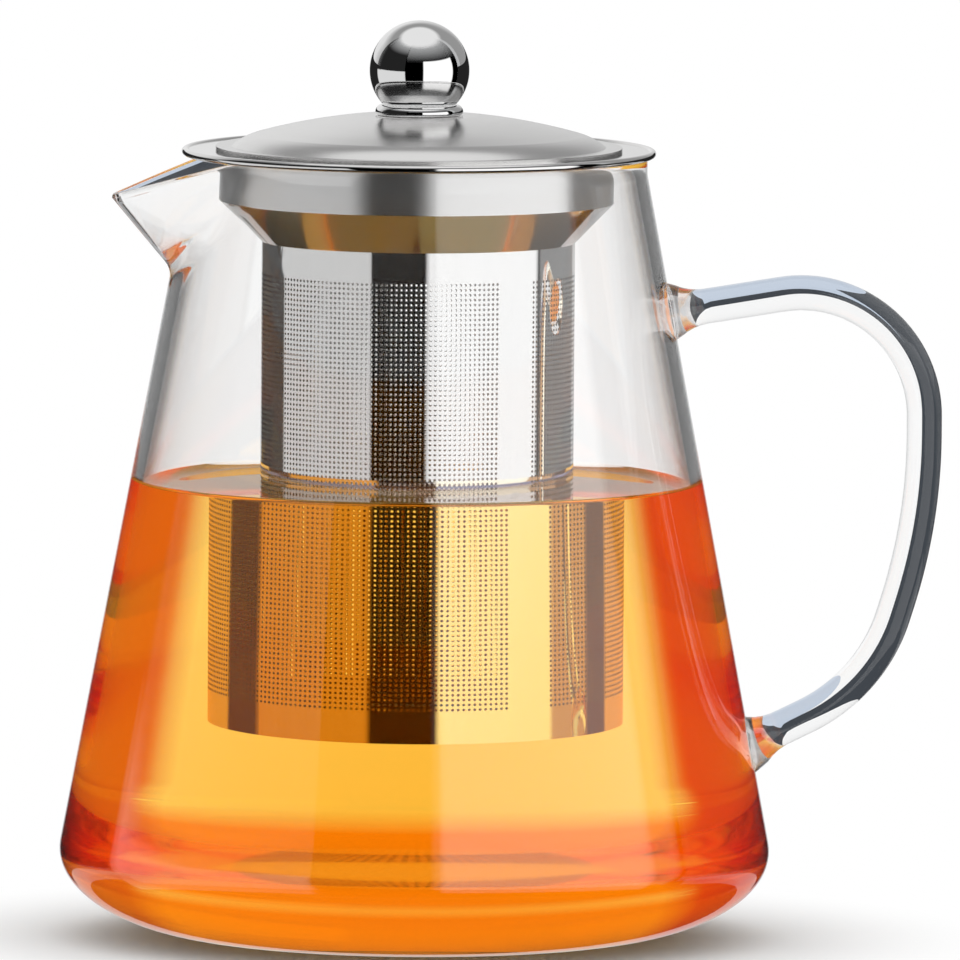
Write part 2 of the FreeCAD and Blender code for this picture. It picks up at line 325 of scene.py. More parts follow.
def collar_material():
    """Spun steel with polished flange and funnel, and a brushed band between them."""
    material, tree, shader = new_material("collar_steel")
    shader.inputs["Base Color"].default_value = (*bpy.context.scene.teapot_steel.colour, 1.0)
    shader.inputs["Metallic"].default_value = 1.0
    shader.inputs["Anisotropic"].default_value = 0.6
    shader.inputs["Anisotropic Rotation"].default_value = 0.25
    tangent = tree.nodes.new("ShaderNodeTangent")
    tangent.direction_type = "RADIAL"
    tangent.axis = "Z"
    tree.links.new(tangent.outputs["Tangent"], shader.inputs["Tangent"])
    where = tree.nodes.new("ShaderNodeTexCoord")
    split = tree.nodes.new("ShaderNodeSeparateXYZ")
    tree.links.new(where.outputs["Object"], split.inputs["Vector"])
    brushed = between(tree, split.outputs["Z"], COLLAR_LOW * MM, COLLAR_HIGH * MM, soft=0.15 * MM)
    lines = noise_field(tree, SPUN_GRAIN, SPUN_SCALE, GRAIN_DETAIL)
    rough = tree.nodes.new("ShaderNodeMix")
    rough.inputs["A"].default_value = COLLAR_POLISHED
    tree.links.new(brushed, rough.inputs["Factor"])
    tree.links.new(spread(tree, lines, *COLLAR_BRUSHED), rough.inputs["B"])
    tree.links.new(rough.outputs["Result"], shader.inputs["Roughness"])
    bump(tree, shader, product(tree, lines, brushed), strength=0.15, distance=0.003 * MM)
    return material


def dress(name, material):
    """Gives a CAD node its material."""
    slots = nodes[name].data.materials
    slots.clear()
    slots.append(material)


# Glass body, in millimetres and degrees

BASE_RADIUS, BASE_WIDEST_Z = 50.5, 12.5
FOOT_RADIUS, FOOT_RING, PUNT_RISE = 26.3, 5.0, 1.2
RING_ROUND, RING_FLAT, RING_LIFT = 0.6, 0.8, 0.03
NECK_RADIUS, NECK_Z, RIM_Z = 32.5, 109.0, 111.75
FLOOR = 2.8
LIP_TIP_Z, LIP_KEEL_Z = 105.9, 95.1
LIP_NOSE, LIP_NOSE_LOW, LIP_WALL, LIP_FALL = 3.0, 6.0, 1.4, 18.6
KEEL_ROUND, KEEL_ROUND_INSIDE = 1.2, 2.6
RIM_BLEND, RIM_BEND_FROM, RIM_BEND_TO, RIM_ROUNDS = 3.0, -4.0, 0.5, 12
EDGE_AT_LIP, EDGE_AT_MOUTH, EDGE_FROM, EDGE_TO = 0.75, 2.7, 30.0, 62.0
EDGE_POWER, EDGE_BEAD, EDGE_FIRST, EDGE_LAST = 0.75, 0.45, 8.0, 172.0

# How finely the glass is divided

CORNER_ROWS, FOOT_ROWS, FLOOR_ROWS, EDGE_ROWS = 26, 12, 14, 19
LIP_SIDE, LIP_COLUMNS, ROUND_COLUMNS = 66.0, 210, 180
LOW_SHARE, LOW_ROWS, LIP_ROWS = 0.72, 22, 50


def corner_touch(half_width, height, neck):
    """Angle on the base corner's oval at which the cone from the neck touches it."""
    u = (neck - FOOT_RADIUS) / half_width
    v = (NECK_Z - BASE_WIDEST_Z) / height
    return math.atan2(v, u) - math.acos(1 / math.hypot(u, v))


def side_profile(gap, floor):
    """Points (r, z) of the base corner from the floor to where the cone starts, drawn in by gap."""
    half_width = BASE_RADIUS - FOOT_RADIUS - gap
    height = BASE_WIDEST_Z - floor
    turn = corner_touch(half_width, height, NECK_RADIUS - gap)
    angles = np.linspace(-math.pi / 2, turn, CORNER_ROWS)
    radii = FOOT_RADIUS + half_width * np.cos(angles)
    return np.stack([radii, BASE_WIDEST_Z + height * np.sin(angles)], 1)


def cone_radius(z, gap, floor):
    """Radius of the round wall at a height, drawn in by gap."""
    low = side_profile(gap, floor)[-1]
    return low[0] + (NECK_RADIUS - gap - low[0]) * (z - low[1]) / (NECK_Z - low[1])


def wall_radius(turn, z, gap, floor, thin, keel_round):
    """Radius of the wall in a direction, 0 along the lip, whose flat flanks run on from the round wall."""
    lip_reach = bpy.context.scene.teapot_glass.lip_reach / MM
    round_wall = cone_radius(z, gap, floor)
    root = cone_radius(LIP_KEEL_Z, 0.0, 0.0)
    share = (z - LIP_KEEL_Z) / (LIP_TIP_Z - LIP_KEEL_Z)
    keel = root + (lip_reach - root) * share - thin
    near = np.maximum(keel_round - np.abs(round_wall - keel), 0.0) / keel_round
    keel = np.maximum(round_wall, keel) + near**2 * keel_round / 4
    nose = LIP_NOSE_LOW + (LIP_NOSE - LIP_NOSE_LOW) * np.clip(share, 0.0, 1.0) - thin
    centre = keel - nose
    normal = np.arccos(np.clip((round_wall - nose) / centre, -1.0, 1.0))
    touch = np.arctan2(nose * np.sin(normal), centre + nose * np.cos(normal))
    away = angle_from_lip(turn)
    on_nose = centre * np.cos(away) + np.sqrt(np.maximum(nose**2 - (centre * np.sin(away)) ** 2, 0.0))
    on_flank = round_wall / np.cos(np.clip(normal - away, 0.0, 1.5))
    return np.where(away < touch, on_nose, np.where(away < normal, on_flank, round_wall))


def outer_radius(turn, z):
    """Radius of the wall's outside."""
    return wall_radius(turn, z, 0.0, 0.0, 0.0, KEEL_ROUND)


def inner_radius(turn, z):
    """Radius of the wall's inside."""
    wall = bpy.context.scene.teapot_glass.wall / MM
    return wall_radius(turn, z, wall, FLOOR, LIP_WALL, KEEL_ROUND_INSIDE)


def angle_from_lip(turn):
    """How far a direction is turned away from the lip, to either side."""
    return np.abs((turn + math.pi) % (2 * math.pi) - math.pi)


def rim_height(turn):
    """Height of the rim, which falls towards the tip of the lip."""
    lip_reach = bpy.context.scene.teapot_glass.lip_reach / MM
    fall = math.tan(math.radians(LIP_FALL))
    start = lip_reach - (RIM_Z - LIP_TIP_Z) / fall
    z = np.full_like(turn, RIM_Z)
    for _ in range(RIM_ROUNDS):
        over = outer_radius(turn, z) * np.cos(turn) - start
        soft = (over + np.sqrt(over**2 + RIM_BLEND)) / 2
        z = (z + RIM_Z - soft * fall * ramp(over, RIM_BEND_FROM, RIM_BEND_TO)) / 2
    return z


def glass_turns():
    """Directions round the axis, closer together at the lip, 0 along the lip."""
    lip = np.linspace(-LIP_SIDE, LIP_SIDE, LIP_COLUMNS, endpoint=False)
    plain = np.linspace(LIP_SIDE, 360.0 - LIP_SIDE, ROUND_COLUMNS, endpoint=False)
    return np.radians(np.concatenate([lip, plain]))


def wall_shares():
    """Heights of the wall's rows as shares of its height, closer together beside the lip."""
    low = np.linspace(0.0, LOW_SHARE, LOW_ROWS)
    return np.concatenate([low, np.linspace(LOW_SHARE, 1.0, LIP_ROWS)[1:]])


def capped(rows, count, low_pole, high_pole):
    """Closes rows of points with a fan at each end, and gives points in metres and faces."""
    verts = np.concatenate(rows)
    faces = grid_faces(len(rows), count, True)
    first, last_row = len(verts), len(verts) - count
    for j in range(count):
        k = (j + 1) % count
        faces.append((k, j, first))
        faces.append((last_row + j, last_row + k, first + 1))
    poles = np.array([[0.0, 0.0, low_pole], [0.0, 0.0, high_pole]])
    return np.concatenate([verts, poles]) * MM, faces


def glass_body_mesh():
    """The body from the foot up the outside, over the mouth's edge and down the inside to the floor."""
    wall = bpy.context.scene.teapot_glass.wall / MM
    turn = glass_turns()
    plain = ramp(angle_from_lip(turn), math.radians(EDGE_FROM), math.radians(EDGE_TO))
    edge = EDGE_AT_LIP + (EDGE_AT_MOUTH - EDGE_AT_LIP) * plain
    top = rim_height(turn) - edge
    rows = []

    def ring(r, z):
        r = np.broadcast_to(r, turn.shape)
        z = np.broadcast_to(z, turn.shape)
        rows.append(np.stack([-r * np.cos(turn), -r * np.sin(turn), z], 1))

    ring_in = FOOT_RADIUS - FOOT_RING
    for r in np.linspace(0.0, ring_in - RING_ROUND, FOOT_ROWS)[1:]:
        ring(r, PUNT_RISE * (1 - (r / ring_in) ** 2))
    ring(ring_in, RING_LIFT)
    ring(ring_in + RING_FLAT, 0.0)
    corner = side_profile(0.0, 0.0)
    for r, z in corner:
        ring(r, z)
    for share in wall_shares()[1:]:
        z = corner[-1][1] + (top - corner[-1][1]) * share
        ring(outer_radius(turn, z), z)
    outer, inner = outer_radius(turn, top), inner_radius(turn, top)
    middle, half = (outer + inner) / 2, (outer - inner) / 2
    for angle in np.radians(np.linspace(EDGE_FIRST, EDGE_LAST, EDGE_ROWS)):
        across, up = math.cos(angle), math.sin(angle)
        bead = 1.0 + EDGE_BEAD * plain * up**2 if angle < math.pi / 2 else 1.0
        r = middle + half * np.sign(across) * abs(across) ** EDGE_POWER * bead
        ring(r, top + edge * up**EDGE_POWER)
    corner = side_profile(wall, FLOOR)
    for share in wall_shares()[:0:-1]:
        z = corner[-1][1] + (top - corner[-1][1]) * share
        ring(inner_radius(turn, z), z)
    for r, z in corner[::-1]:
        ring(r, z)
    for r in np.linspace(FOOT_RADIUS, 0.0, FLOOR_ROWS)[1:-1]:
        ring(r, FLOOR)
    return capped(rows, len(turn), PUNT_RISE, FLOOR)


# Handle, in millimetres

HANDLE_POINTS = ((72.1, 95.4), (72.1, 59.9), (64.8, 36.4))
HANDLE_RADII = (17.5, 80.0, 24.0)
HANDLE_ENDS = (89.5, 28.0)
WELD_SPREAD, WELD_LENGTH, WELD_POWER, WELD_SINK, WELD_ROUNDS = 1.8, 5.0, 2.2, 0.5, 8
ROD_STEP, ROD_COLUMNS, BEND_STEPS, RUN_STEPS = 0.9, 40, 6, 2


def handle_line():
    """Points and directions along the handle's centre, from the upper weld to the lower one."""
    ends = [np.array([cone_radius(z, 0.0, 0.0), z]) for z in HANDLE_ENDS]
    stops = [ends[0], *[np.array(p) for p in HANDLE_POINTS], ends[1]]
    points, ways = [], []
    start = stops[0]
    for before, corner, after, radius in zip(stops, stops[1:], stops[2:], HANDLE_RADII):
        back = (before - corner) / np.linalg.norm(before - corner)
        ahead = (after - corner) / np.linalg.norm(after - corner)
        half = math.acos(float(back @ ahead)) / 2
        reach = radius / math.tan(half)
        first = corner + back * reach
        centre = corner + (back + ahead) / np.linalg.norm(back + ahead) * (radius / math.sin(half))
        steps = max(int(np.linalg.norm(first - start) / ROD_STEP), RUN_STEPS)
        for share in np.linspace(0.0, 1.0, steps, endpoint=False):
            points.append(start + (first - start) * share)
            ways.append(-back)
        spoke = (first - centre) / radius
        sweep = math.pi - 2 * half
        steps = max(int(radius * sweep / ROD_STEP), BEND_STEPS)
        for angle in np.linspace(0.0, sweep, steps, endpoint=False):
            points.append(centre + radius * (spoke * math.cos(angle) - back * math.sin(angle)))
            ways.append(-back * math.cos(angle) - spoke * math.sin(angle))
        start = corner + ahead * reach
    way = (stops[-1] - start) / np.linalg.norm(stops[-1] - start)
    for share in np.linspace(0.0, 1.0, max(int(np.linalg.norm(stops[-1] - start) / ROD_STEP), RUN_STEPS)):
        points.append(start + (stops[-1] - start) * share)
        ways.append(way)
    return np.array(points), np.array(ways)


def handle_mesh():
    """The rod along the handle's line, whose ends spread and sink into the wall."""
    settings = bpy.context.scene.teapot_glass
    points, ways = handle_line()
    along = np.concatenate([[0.0], np.cumsum(np.linalg.norm(np.diff(points, axis=0), axis=1))])
    total = along[-1]
    around = np.linspace(0.0, 2 * math.pi, ROD_COLUMNS, endpoint=False)
    rows = []
    for point, way, place in zip(points, ways, along):
        nearest = min(place, total - place) / WELD_LENGTH
        flare = WELD_SPREAD * max(1.0 - nearest, 0.0) ** WELD_POWER
        thick = settings.rod_thick / MM / 2 + flare
        wide = settings.rod_wide / MM / 2 + flare
        side = np.array([way[1], -way[0]])
        flat = point + side * (thick * np.cos(around))[:, None]
        rows.append(np.stack([flat[:, 0], wide * np.sin(around), flat[:, 1]], 1))
    low = side_profile(0.0, 0.0)[-1]
    slope = (NECK_RADIUS - low[0]) / (NECK_Z - low[1])
    for row, way in ((rows[0], ways[0]), (rows[-1], ways[-1])):
        for vert in row:
            for _ in range(WELD_ROUNDS):
                gap = math.hypot(vert[0], vert[1]) - cone_radius(vert[2], 0.0, 0.0) + WELD_SINK
                rate = way[0] - slope * way[1]
                vert[0] -= gap / rate * way[0]
                vert[2] -= gap / rate * way[1]
    verts = np.concatenate(rows)
    faces = grid_faces(len(rows), ROD_COLUMNS, True)
    faces.append(tuple(range(ROD_COLUMNS - 1, -1, -1)))
    faces.append(tuple(range(len(verts) - ROD_COLUMNS, len(verts))))
    return verts * MM, faces


# Tea, in millimetres

TEA_SINK = 0.25
CLIMB_REACH, CLIMB_FALL = 6.0, 1.3
TEA_COLUMNS, TEA_FLOOR_ROWS, TEA_WALL_ROWS, CLIMB_ROWS, SURFACE_ROWS = 256, 12, 40, 26, 16


def tea_mesh():
    """The fill, whose edge climbs the glass. It sinks into the wall a little, so no air lies between."""
    settings = bpy.context.scene.teapot_tea
    wall = bpy.context.scene.teapot_glass.wall / MM
    gap, floor = wall - TEA_SINK, FLOOR - TEA_SINK
    level, climb = settings.level / MM, settings.meniscus / MM
    top = level + climb
    profile = [(r, floor) for r in np.linspace(0.0, FOOT_RADIUS, TEA_FLOOR_ROWS)[1:-1]]
    profile += [tuple(point) for point in side_profile(gap, floor)]
    for z in np.linspace(profile[-1][1], top, TEA_WALL_ROWS)[1:]:
        profile.append((cone_radius(z, gap, floor), z))
    edge = cone_radius(top, wall, floor)
    profile.append((edge, top))
    inside = np.linspace(0.0, CLIMB_REACH, CLIMB_ROWS)[1:]
    inside = np.concatenate([inside, np.linspace(CLIMB_REACH, edge, SURFACE_ROWS)[1:-1]])
    profile += [(edge - d, level + climb * math.exp(-d / CLIMB_FALL)) for d in inside]
    turn = np.linspace(0.0, 2 * math.pi, TEA_COLUMNS, endpoint=False)
    rows = [np.stack([r * np.cos(turn), r * np.sin(turn), np.full(TEA_COLUMNS, z)], 1) for r, z in profile]
    return capped(rows, TEA_COLUMNS, floor, level)


# Infuser, in millimetres and degrees round the axis

SLEEVE_RADIUS, SLEEVE_LOW, SLEEVE_HIGH = 22.25, 29.0, 99.2
HOLES_LOW, HOLES_HIGH = 33.5, 95.0
SEAM_FROM, SEAM_TO, SEAM_COLUMNS = -59.0, -44.0, 24
SECTORS = 4
HOLE_CORNERS = 8
WELD_STEP, WELD_SIZE, WELD_DEPTH = 5.0, 0.5, 0.04
COLLAR_LOW, COLLAR_HIGH = 104.9, 111.4


def weld_dent(angle, z):
    """Depth of the spot welds down the middle of the seam."""
    across = SLEEVE_RADIUS * (angle - math.radians((SEAM_FROM + SEAM_TO) / 2))
    up = (z - HOLES_LOW + WELD_STEP / 2) % WELD_STEP - WELD_STEP / 2
    return WELD_DEPTH * np.exp(-(across**2 + up**2) / WELD_SIZE**2)


def sheet_sector(angles, holes):
    """One sector of the sleeve's sheet, from its column borders and which columns have holes."""
    settings = bpy.context.scene.teapot_sleeve
    thick = settings.sheet / MM
    radius = settings.hole / MM / 2
    heights = np.concatenate(
        [[SLEEVE_LOW], np.linspace(HOLES_LOW, HOLES_HIGH, settings.rows + 1), [SLEEVE_HIGH]]
    )
    wide, tall = len(angles), len(heights)
    verts, faces = [], []

    def place(angle, z, r):
        return np.stack([r * np.cos(angle), r * np.sin(angle), z], -1).reshape(-1, 3)

    grid_angle, grid_z = np.meshgrid(angles, heights)
    dent = weld_dent(grid_angle, grid_z)
    outer = place(grid_angle, grid_z, SLEEVE_RADIUS - dent)
    inner = place(grid_angle, grid_z, SLEEVE_RADIUS - thick - dent)
    step = len(outer)
    verts += [outer, inner]
    start = 2 * step
    corners = np.linspace(0.0, 2 * math.pi, HOLE_CORNERS, endpoint=False)
    for i in range(tall - 1):
        for j in range(wide - 1):
            a = i * wide + j
            b, c, d = a + 1, a + wide + 1, a + wide
            if not holes[j] or i in (0, tall - 2):
                faces.append((a, b, c, d))
                faces.append((a + step, d + step, c + step, b + step))
                continue
            middle = (angles[j] + angles[j + 1]) / 2
            z = (heights[i] + heights[i + 1]) / 2
            hole_angle = middle + radius * np.cos(corners) / SLEEVE_RADIUS
            hole_z = z + radius * np.sin(corners)
            verts.append(place(hole_angle, hole_z, SLEEVE_RADIUS))
            verts.append(place(hole_angle, hole_z, SLEEVE_RADIUS - thick))
            h = [start + k for k in range(HOLE_CORNERS)]
            g = [k + HOLE_CORNERS for k in h]
            start += 2 * HOLE_CORNERS
            # Each side of the cell meets three corners of the hole, from the one given
            for p, q, k in ((a, b, 5), (b, c, 7), (c, d, 1), (d, a, 3)):
                m, n = (k + 1) % HOLE_CORNERS, (k + 2) % HOLE_CORNERS
                faces.append((p, q, h[n], h[m], h[k]))
                faces.append((q + step, p + step, g[k], g[m], g[n]))
            for k in range(HOLE_CORNERS):
                m = (k + 1) % HOLE_CORNERS
                faces.append((h[k], h[m], g[m], g[k]))
    for j in range(wide - 1):
        top = (tall - 1) * wide + j
        faces.append((j, j + step, j + 1 + step, j + 1))
        faces.append((top, top + 1, top + 1 + step, top + step))
    for i in range(tall - 1):
        a, d = i * wide, (i + 1) * wide
        faces.append((a, d, d + step, a + step))
        b, c = a + wide - 1, d + wide - 1
        faces.append((b, b + step, c + step, c))
    return np.concatenate(verts) * MM, faces


def sleeve_sectors():
    """Column borders and hole flags of the sleeve's sectors, the first of which has the plain seam."""
    columns = bpy.context.scene.teapot_sleeve.columns
    borders = np.radians(np.linspace(SEAM_TO, SEAM_FROM + 360.0, columns + 1))
    seam = np.radians(np.linspace(SEAM_FROM, SEAM_TO, SEAM_COLUMNS + 1))
    cuts = [k * columns // SECTORS for k in range(SECTORS + 1)]
    sectors = []
    for low, high in zip(cuts, cuts[1:]):
        angles, holes = borders[low:high + 1], [True] * (high - low)
        if low == 0:
            angles = np.concatenate([seam[:-1], angles])
            holes = [False] * SEAM_COLUMNS + holes
        sectors.append((angles, holes))
    return sectors


# Steps for the pieces


class TEAPOT_OT_glass(bpy.types.Operator):
    """Blow the glass body and draw the handle"""

    bl_idname = "teapot.glass"
    bl_label = "Glass Body and Handle"

    def execute(self, context):
        material = glass_material()
        body = point_set(*glass_body_mesh(), "pot_glass")
        handle = point_set(*handle_mesh(), "pot_handle", sharp=50.0)
        for piece, node in ((body, "glass_body"), (handle, "glass_handle")):
            piece.data.materials.append(material)
            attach(piece, "pot")
            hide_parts(node)
        return {"FINISHED"}


class TEAPOT_OT_tea(bpy.types.Operator):
    """Pour the tea"""

    bl_idname = "teapot.tea"
    bl_label = "Tea"

    def execute(self, context):
        piece = point_set(*tea_mesh(), "tea_fill")
        piece.data.materials.append(tea_material())
        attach(piece, "pot")
        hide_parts("tea")
        return {"FINISHED"}


class TEAPOT_OT_infuser(bpy.types.Operator):
    """Roll the perforated sleeve and finish the pressed pieces of the infuser"""

    bl_idname = "teapot.infuser"
    bl_label = "Infuser"

    def execute(self, context):
        sheet = steel_material(
            "sleeve_steel", context.scene.teapot_steel.colour, rough=(0.02, 0.05), grain=(0.97, 1.03),
            stretch=(1.0, 1.0, 0.03), scale=900.0, grain_bump=0.001 * MM,
        )
        for number, sector in enumerate(sleeve_sectors(), 1):
            piece = point_set(*sheet_sector(*sector), f"sleeve_sheet_{number}")
            piece.data.materials.append(sheet)
            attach(piece, "infuser")
            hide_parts("infuser_sleeve")
        dress("infuser_collar", collar_material())
        dress("infuser_bottom", sheet)
        return {"FINISHED"}


class TEAPOT_OT_lid(bpy.types.Operator):
    """Finish the lid and its knob"""

    bl_idname = "teapot.lid"
    bl_label = "Lid and Knob"

    def execute(self, context):
        steel = context.scene.teapot_steel
        satin = steel_material(
            "lid_steel", steel.colour, rough=(0.18, 0.26), grain=(0.97, 1.03),
            stretch=SPUN_GRAIN, scale=SPUN_SCALE, grain_bump=0.002 * MM,
        )
        polished = steel_material(
            "knob_steel", steel.ball_colour, rough=(0.015, 0.03), grain=(0.99, 1.01),
            stretch=(1.0, 1.0, 1.0), scale=400.0, grain_bump=0.0005 * MM,
        )
        for name in ("lid_dome", "lid_skirt", "knob_screw", "knob_washer"):
            dress(name, satin)
        for name in ("knob_base", "knob_ball"):
            dress(name, polished)
        return {"FINISHED"}


# Studio

# Kinds of ray, by the least and most faces they came through and the least and most reflections
SIGHTS = {
    "mirror": (0, 4, 1, 2),
    "outside": (0, 2, 1, 2),
    "inside": (3, 4, 1, 2),
    "handle": (2, 2, 0, 0),
    "pot": (3, 4, 0, 0),
    "tea": (5, 99, 0, 0),
    "steel in tea": (5, 8, 1, 2),
    "funnel": (5, 12, 1, 2),
    "base": (9, 99, 1, 99),
}
BOUNCES, CLEAR_LAYERS = 120, 32

# Cards stand round a point at this height in millimetres, at distances in metres and angles in degrees
CARD_CENTRE = 70.0
CARD_COLUMNS, CARD_ROWS = 49, 25

# Colours of the world and the cards
WHITE, TENT_WHITE = (1.0, 1.0, 1.0), (0.98, 0.99, 1.0)
HONEY, DEEP_GOLD = (1.0, 0.55, 0.12), (1.0, 0.42, 0.05)
PALE_GOLD, ROSE_GOLD = (1.0, 0.95, 0.8), (1.0, 0.6, 0.3)
EMBER, APRICOT = (1.0, 0.41, 0.03), (1.0, 0.52, 0.08)
BROWN, RUST = (1.0, 0.35, 0.08), (1.0, 0.4, 0.2)
LILAC, BLUE = (0.9, 0.85, 1.2), (0.85, 1.0, 1.7)

# Low and high rise of the cards that the sleeve mirrors through the tea, and of those that the funnel mirrors
STEEL_RISE, FUNNEL_RISE = (-42, 30), (-90, -16)

# Half the floor's width in metres, and where its shade fades to white, in millimetres from the axis
FLOOR_REACH = 0.8
SHADE_FROM, SHADE_TO = 45.0, 85.0

# The photograph's frame in pixels, and the width of a pixel at the pot's axis in millimetres
FRAME_PIXELS, PIXEL = 960, 0.1422

# The camera's distance in metres, angles in degrees, sensor in millimetres and end of sight in metres
CAMERA_DISTANCE, CAMERA_RISE, CAMERA_ROLL = 4.0, 5.0, 0.40
SENSOR, CLIP_END = 36.0, 50.0

# The height that the camera aims at in millimetres, and the aim's shift in pixels
AIM_HEIGHT, AIM_RIGHT, AIM_UP = 60.0, 63.2, 36.8


def sight(tree, kind):
    """1 for one kind of ray and 0 for all others."""
    faces_from, faces_to, mirrors_from, mirrors_to = SIGHTS[kind]
    path = tree.nodes.new("ShaderNodeLightPath")
    through = path.outputs["Transmission Depth"]
    mirrored = path.outputs["Glossy Depth"]
    return product(
        tree,
        compare(tree, "GREATER_THAN", through, faces_from - 0.5),
        compare(tree, "LESS_THAN", through, faces_to + 0.5),
        compare(tree, "GREATER_THAN", mirrored, mirrors_from - 0.5),
        compare(tree, "LESS_THAN", mirrored, mirrors_to + 0.5),
    )


def lay_over(tree, share, below, above, output):
    """Shows a share of one shader over another."""
    mix = tree.nodes.new("ShaderNodeMixShader")
    tree.links.new(share, mix.inputs["Fac"])
    tree.links.new(below, mix.inputs[1])
    tree.links.new(above, mix.inputs[2])
    tree.links.new(mix.outputs["Shader"], output.inputs["Surface"])


def edge_fade(steps, span, first, last):
    """0 at the ends of a span, and 1 from a soft width inside each end."""
    inside = np.ones_like(steps)
    if first:
        inside = np.minimum(inside, steps * span / first)
    if last:
        inside = np.minimum(inside, (1.0 - steps) * span / last)
    return inside


def card_material(name, kind, brightness, colour):
    """Even light for one kind of ray, as far as the card covers. All other rays pass."""
    material = bpy.data.materials.new(name)
    material.use_nodes = True
    tree = material.node_tree
    tree.nodes.clear()
    output = tree.nodes.new("ShaderNodeOutputMaterial")
    clear = tree.nodes.new("ShaderNodeBsdfTransparent")
    light = tree.nodes.new("ShaderNodeEmission")
    light.inputs["Color"].default_value = (*colour, 1.0)
    light.inputs["Strength"].default_value = brightness
    cover = tree.nodes.new("ShaderNodeAttribute")
    cover.attribute_name = "cover"
    share = product(tree, sight(tree, kind), cover.outputs["Fac"])
    lay_over(tree, share, clear.outputs["BSDF"], light.outputs["Emission"], output)
    return material


def card(name, kind, turn, rise, distance, brightness, colour=WHITE, rise_end=None, soft=(0, 0, 0)):
    """A curved card round the set that only one kind of ray meets.

    It runs between two turns, 0 towards the camera and positive to the right, and between a low and
    a high rise, which may change along it to rise_end. It fades out over soft widths at its two ends,
    along its foot and along its top.
    """
    columns = np.linspace(0.0, 1.0, CARD_COLUMNS)
    rows = np.linspace(0.0, 1.0, CARD_ROWS)
    low, high = (a + (b - a) * columns for a, b in zip(rise, rise_end or rise))
    a = np.radians(np.tile(turn[0] + (turn[1] - turn[0]) * columns, (CARD_ROWS, 1)))
    e = np.radians(low + (high - low) * rows[:, None])
    ways = np.stack([np.sin(a) * np.cos(e), -np.cos(a) * np.cos(e), np.sin(e)], -1).reshape(-1, 3)
    centre = np.array([0.0, 0.0, CARD_CENTRE * MM])
    piece = point_set(distance * ways + centre, grid_faces(CARD_ROWS, CARD_COLUMNS, False), name)
    ends, foot, top = soft
    along = edge_fade(columns, abs(turn[1] - turn[0]), ends, ends)
    cover = np.outer(edge_fade(rows, rise[1] - rise[0], foot, top), along)
    piece.data.attributes.new("cover", "FLOAT", "POINT").data.foreach_set("value", cover.ravel())
    piece.data.materials.append(card_material(name, kind, brightness, colour))
    piece.visible_camera = False
    piece.visible_diffuse = False
    piece.visible_shadow = False


